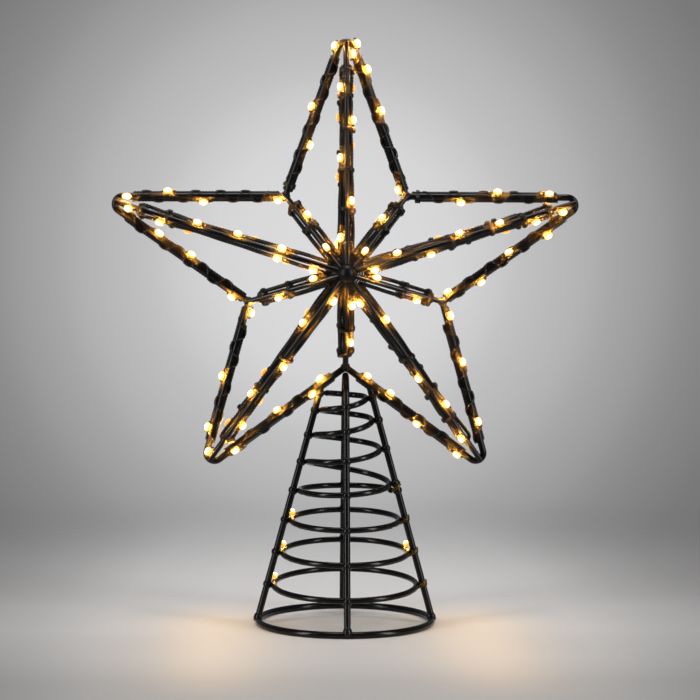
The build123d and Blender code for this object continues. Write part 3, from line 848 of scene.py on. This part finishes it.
def bead_points(centres, axes, radius, half_length, lump_turn):
    """A drop along axes: the radius follows (sin t)^0.6, with three shallow lumps round it."""
    t = np.linspace(0.25, np.pi - 0.25, 7)
    along = -np.cos(t) / np.cos(t[0])
    paths = centres[:, None] + along[:, None] * (half_length[:, None] * axes)[:, None]
    angle = np.linspace(0, 2 * np.pi, 12, endpoint=False)
    lumps = 1 + 0.05 * np.sin(3 * angle + lump_turn[:, None])
    size = radius[:, None, None] * np.sin(t)[None, :, None] ** 0.6 * lumps[:, None]
    up = np.cross(axes, np.array([0.31, 0.52, 0.79]))[:, None]
    return tube_points(paths, size[..., None], 12, up)


cone_joints = outward * (leg_line(heights) - bead_inset)[:, None] + heights[:, None] * up_axis
leg_axes = unit(up_axis - outward * lean)
feet = outward[:4] * ring_radius + up_axis * foot_bead_height
noses = np.array([on_star((reach - nose_inset) * mm, angle) for angle, reach in arms.values()])
joints = np.array([on_star(radius * mm, angle) for angle, radius in valleys.values()])
depth_axes = np.tile(depth_axis, (5, 1))
# Each row has centres, axes, a radius and a half length in mm.
beads = [(cone_joints, leg_axes, 2.5, 2.0), (feet, leg_axes[:4], 2.4, 2.6),
         (noses, depth_axes, 1.6, 3.6), (joints, depth_axes, 2.5, 4.0)]
centres, axes = (np.concatenate([row[part] for row in beads]) for part in (0, 1))
counts = [len(row[0]) for row in beads]
radius, half_length = (np.repeat([row[part] * mm for row in beads], counts) for part in (2, 3))
lump_turns = rng.uniform(0, 6.28, len(centres))
add_piece("weld_beads", bead_points(centres, axes, radius, half_length, lump_turns), powder_coat)

# %% [markdown]
# On the right leg two turns of wire lie over each of the four lower crossings. Their gold colour is a
# painted glint of warm light, from the recipe of the black finishes with gold colours and as a metal.

# %% Wrap the right leg with wire that carries a painted gold glint
collar_radius, collar_wire, collar_inset, collar_lift = 2.7 * mm, 0.24 * mm, 0.3 * mm, 1.5 * mm
# The gold colours paint the warm glint that lamp light gives these turns.
gold_painted_glint_wire = wire_finish("gold_painted_glint_wire", (0.12, 0.06, 0.008), (0.4, 0.23, 0.04), smooth=0.2, rough=0.35,
                         grain=0.5 * mm, bump=0.05, shine=0.5)
gold_painted_glint_wire.node_tree.nodes["Principled BSDF"].inputs["Metallic"].default_value = 1.0
heights = np.append(ring_heights, spiral_foot + collar_lift)
centres = np.column_stack([leg_line(heights) - collar_inset, 0 * heights, heights])
right_leg = np.tile(unit(np.array([-lean, 0.0, 1.0])), (len(heights), 1))
back = np.tile(depth_axis, (len(heights), 1))
across = np.cross(back, right_leg)
collars = wound(centres, across, back, right_leg, collar_radius, collar_radius, collar_radius,
                turns=2.2, rise=0.95 * mm, slant=0.4, squareness=1.0, steps=40)
add_piece("brass_collars", tube_points(collars, collar_wire, 6, right_leg[:, None]), gold_painted_glint_wire)

# %% [markdown]
# The lamps are small, and on the pale floor their light is lost in that of the studio. So the sparks
# are linked to the topper alone, and the hub balls, which stay black between the lamps, are left out.

# %% Link the sparks to the topper
topper = bpy.data.collections.new("topper")
for piece in [each for each in bpy.data.objects if each.type == "MESH" and "hub_ball" not in each.name]:
    topper.objects.link(piece)
for light in sparks:
    light.light_linking.receiver_collection = topper

# %% [markdown]
# ## Floor and light
# The photograph is a studio picture: a grey backdrop that is bright behind the star and darker at the
# edges, and a pale floor. The floor is brightest along an oval from front to back, a little darker in
# front, and fades out before its rim, so no edge shows.

# %% Lay the floor
floor_radius, floor_corners = 1.6, 64
angle = np.linspace(0, 2 * np.pi, floor_corners, endpoint=False)
rim = np.column_stack([floor_radius * np.cos(angle), floor_radius * np.sin(angle), 0 * angle])
floor_mesh = bpy.data.meshes.new("floor")
floor_mesh.from_pydata(rim.tolist(), [], [list(range(floor_corners))])
floor = into_scene("floor", floor_mesh)
print("floor", 2 * floor_radius, "m across")

# %% Paint the floor, with a painted pool of light and painted shade
fade_start, fade_end, floor_roughness = 0.15, 0.6, 0.5
# The front values paint shade: the floor's colour darkens towards the front.
front_edge, front_end, front_painted_shade = -0.15, -0.02, 0.62
oval_shape, floor_tint = (1.0, 0.2, 0.0), np.array([1.0, 0.99, 0.985])
# These tones paint a pool of light: the floor's colour is brightest near the star and darker outwards.
floor_pool_painted_tones = ((0.07, 0.78), (0.12, 0.7), (0.16, 0.53), (0.2, 0.41), (0.26, 0.3))
floor_painted_light, nodes, links, shader = new_material("floor_painted_light")
shader.inputs["Roughness"].default_value = floor_roughness
place = nodes.new("ShaderNodeTexCoord")
drawn_in, oval = vector_node(nodes, "MULTIPLY"), vector_node(nodes, "LENGTH")
drawn_in.inputs[1].default_value = oval_shape
paint = ramp_node(nodes, [(position, tone * floor_tint) for position, tone in floor_pool_painted_tones])
split = nodes.new("ShaderNodeSeparateXYZ")
front = range_node(nodes, front_edge, front_end, front_painted_shade, 1.0)
dimmed = vector_node(nodes, "SCALE")
links.new(place.outputs["Object"], drawn_in.inputs[0])
links.new(drawn_in.outputs["Vector"], oval.inputs[0])
links.new(oval.outputs["Value"], paint.inputs["Fac"])
links.new(place.outputs["Object"], split.inputs["Vector"])
links.new(split.outputs["Y"], front.inputs["Value"])
links.new(paint.outputs["Color"], dimmed.inputs[0])
links.new(front.outputs["Result"], dimmed.inputs["Scale"])
links.new(dimmed.outputs["Vector"], shader.inputs["Base Color"])
floor_mesh.materials.append(floor_painted_light)
print("floor tones", [tone for _, tone in floor_pool_painted_tones])

# %% Fade the floor's rim
reach = vector_node(nodes, "LENGTH")
fade = range_node(nodes, fade_start, fade_end, 0.0, 1.0, eased=True)
clear = nodes.new("ShaderNodeBsdfTransparent")
blend = nodes.new("ShaderNodeMixShader")
links.new(place.outputs["Object"], reach.inputs[0])
links.new(reach.outputs["Value"], fade.inputs["Value"])
links.new(fade.outputs["Result"], blend.inputs["Fac"])
links.new(shader.outputs["BSDF"], blend.inputs[1])
links.new(clear.outputs["BSDF"], blend.inputs[2])
links.new(blend.outputs["Shader"], nodes["Material Output"].inputs["Surface"])
print("floor fades from", fade_start, "to", fade_end, "m")

# %% [markdown]
# Two tall soft boxes draw the pairs of grey lines on the black rods, and a third hangs above. Two low
# warm lamps make the pools of light beside the base. Neither the camera nor a reflection sees those
# two.

# %% Light the studio
def soft_box(name, place, aim, width, height, watts):
    """A rectangular area light turned to its aim."""
    lamp = bpy.data.lights.new(name, "AREA")
    lamp.shape = "RECTANGLE"
    lamp.size, lamp.size_y, lamp.energy = width, height, watts
    box = into_scene(name, lamp)
    box.location = place
    box.rotation_euler = (Vector(aim) - Vector(place)).to_track_quat("-Z", "Y").to_euler()
    return box


soft_box("left_soft_box", (-0.9, -0.6, 0.45), (0, 0, 0.15), width=0.22, height=1.0, watts=8.0)
soft_box("right_soft_box", (0.9, -0.6, 0.45), (0, 0, 0.15), width=0.22, height=1.0, watts=8.0)
soft_box("top_soft_box", (0.0, 0.1, 1.3), (0, 0, 0.1), width=0.6, height=0.6, watts=7.5)
pool_aside, pool_ahead, pool_lamp_height, pool_colour = 0.066, -0.068, 0.03, (1.0, 0.57, 0.15)
for side in (-1, 1):
    spot = (pool_aside * side, pool_ahead)
    pool = soft_box(f"warm_pool_{side}", (*spot, pool_lamp_height), (*spot, 0), width=0.03, height=0.2,
                    watts=0.023)
    pool.data.color = pool_colour
    pool.visible_camera = pool.visible_glossy = False
print("studio lights:", [each.name for each in bpy.data.lights if each.type == "AREA"])

# %% [markdown]
# The backdrop is painted on the world: a ramp of the distance from one direction behind the star paints a
# pool of light, bright behind the star and darker outwards. The camera, glossy and transmission rays see
# it, so the wires reflect it too. All other light from the world is dim and even.

# %% Paint the backdrop
ambient_colour, painted_pool_middle = (0.06, 0.06, 0.062, 1), (0.023, 1.0, 0.0)
painted_pool_tint = np.array([1.0, 1.0, 1.01])
# These tones paint a pool of light on the backdrop: bright behind the star, darker towards the edges.
backdrop_painted_pool_tones = ((0.0, 0.72), (0.06, 0.66), (0.085, 0.55), (0.125, 0.42),
              (0.16, 0.295), (0.2, 0.195), (0.3, 0.15))
world = bpy.data.worlds.new("studio")
bpy.context.scene.world = world
world.use_nodes = True
nodes, links = world.node_tree.nodes, world.node_tree.links
ambient = nodes["Background"]
ambient.inputs["Color"].default_value = ambient_colour
backdrop = nodes.new("ShaderNodeBackground")
place = nodes.new("ShaderNodeTexCoord")
middle = vector_node(nodes, "DISTANCE")
middle.inputs[1].default_value = unit(np.array(painted_pool_middle))
painted_pool_ramp = ramp_node(nodes, [(position, tone * painted_pool_tint) for position, tone in backdrop_painted_pool_tones])
painted_pool_ramp.color_ramp.interpolation = "CARDINAL"
links.new(place.outputs["Generated"], middle.inputs[0])
links.new(middle.outputs["Value"], painted_pool_ramp.inputs["Fac"])
links.new(painted_pool_ramp.outputs["Color"], backdrop.inputs["Color"])
print("backdrop tones", [tone for _, tone in backdrop_painted_pool_tones])

# %% Show the backdrop to camera and reflections
rays = nodes.new("ShaderNodeLightPath")
seen = nodes.new("ShaderNodeMixShader")
shown = rays.outputs["Is Camera Ray"]
for kind in ("Is Glossy Ray", "Is Transmission Ray"):
    either = nodes.new("ShaderNodeMath")
    either.operation = "MAXIMUM"
    links.new(shown, either.inputs[0])
    links.new(rays.outputs[kind], either.inputs[1])
    shown = either.outputs["Value"]
links.new(shown, seen.inputs["Fac"])
links.new(ambient.outputs["Background"], seen.inputs[1])
links.new(backdrop.outputs["Background"], seen.inputs[2])
links.new(seen.outputs["Shader"], nodes["World Output"].inputs["Surface"])
bpy.context.scene.view_settings.view_transform = "Standard"
print("view transform", bpy.context.scene.view_settings.view_transform)
